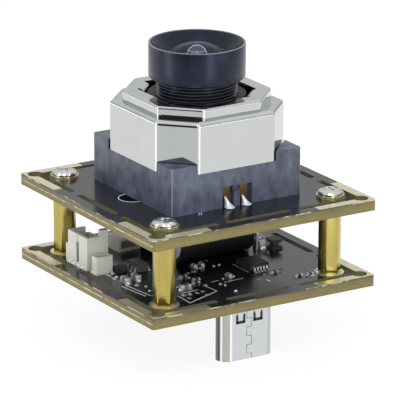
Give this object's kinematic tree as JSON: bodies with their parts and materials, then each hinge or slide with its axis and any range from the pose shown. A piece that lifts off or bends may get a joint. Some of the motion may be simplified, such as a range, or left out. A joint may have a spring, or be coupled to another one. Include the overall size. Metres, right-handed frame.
{
  "type": "camera module",
  "caption": "Two stacked square circuit boards on hexagonal standoffs carry an autofocus lens motor, a threaded lens and a cable socket below.",
  "frame": {"origin": "centre of the four mounting holes on the underside of the lower board", "axes": "+Z out of the lens, +X along the board edge that carries the coil terminals on its -Y side"},
  "size_m": [0.038, 0.038, 0.0443],
  "materials": {
    "solder_mask": "black solder mask on glass-fibre laminate, gilt strips at the corners",
    "brass": "turned brass, satin",
    "nickel": "polished nickel plate",
    "bright_screw": "nickel-plated steel",
    "black_moulding": "moulded, fine matt",
    "black_anodised": "black anodised, satin",
    "lens_glass": "coated optical glass",
    "magnet": "nickel-plated sintered magnet",
    "winding": "enamelled copper wire",
    "spring_alloy": "rolled copper alloy",
    "terminal": "plated strip",
    "solder": "tin solder, bright",
    "ceramic_package": "fired ceramic",
    "silicon": "polished silicon",
    "steel_shell": "nickel-plated folded steel, satin",
    "contact_gold": "gold-flashed strip",
    "white_moulding": "moulded nylon",
    "tin": "tinned metal",
    "aluminium_can": "drawn aluminium",
    "black_sleeve": "shrunk sleeve",
    "bung_rubber": "moulded rubber",
    "chip_epoxy": "filled epoxy",
    "ferrite": "sintered ferrite",
    "chip_ceramic": "fired ceramic with tinned ends"
  },
  "bodies": {
    "housing": {"lower_board": "solder_mask", "upper_board": "solder_mask", "standoffs": "brass", "top_screws": "bright_screw", "screw_washers": "brass", "motor_base": "black_moulding", "motor_can": "nickel", "motor_magnets": "magnet", "upper_leaf_spring": "spring_alloy", "upper_spring_frame": "black_moulding", "lower_leaf_spring": "spring_alloy", "coil_terminals": "terminal", "terminal_solder": "solder", "ir_filter": "lens_glass", "sensor_package": "ceramic_package", "sensor_die": "silicon", "sensor_cover_glass": "lens_glass", "usb_shell": "steel_shell", "usb_tongue": "black_moulding", "usb_contacts": "contact_gold", "tall_header_housing": "white_moulding", "tall_header_contacts": "tin", "small_header_housing": "white_moulding", "small_header_contacts": "tin", "rear_header_housing": "white_moulding", "rear_header_contacts": "tin", "capacitor_can": "aluminium_can", "capacitor_bung": "bung_rubber", "capacitor_sleeve": "black_sleeve", "capacitor_leads": "tin", "controller_chip": "chip_epoxy", "controller_leads": "tin", "regulator_chip": "chip_epoxy", "regulator_leads": "tin", "image_processor": "chip_epoxy", "oscillator": "tin", "power_inductor": "ferrite", "small_diode": "chip_epoxy", "ceramic_capacitors": "chip_ceramic", "chip_resistors": "ferrite", "link_socket": "black_moulding", "link_plug": "black_moulding", "link_pins": "contact_gold"},
    "lens": {"lens_barrel": "black_anodised", "lens_retaining_ring": "black_anodised", "front_lens_element": "lens_glass", "second_lens_element": "lens_glass", "rear_lens_element": "lens_glass", "front_spacer": "black_anodised", "rear_spacer": "black_anodised", "aperture_stop": "black_anodised", "lens_carrier": "black_moulding", "motor_coil": "winding"}
  },
  "joints": [
    {"name": "focus_travel", "type": "slide", "parent": "housing", "child": "lens", "axis": [0, 0, 1], "range_m": [0, 0.0004], "stiffness_N_per_m": 150, "springref_m": -0.0005}
  ]
}
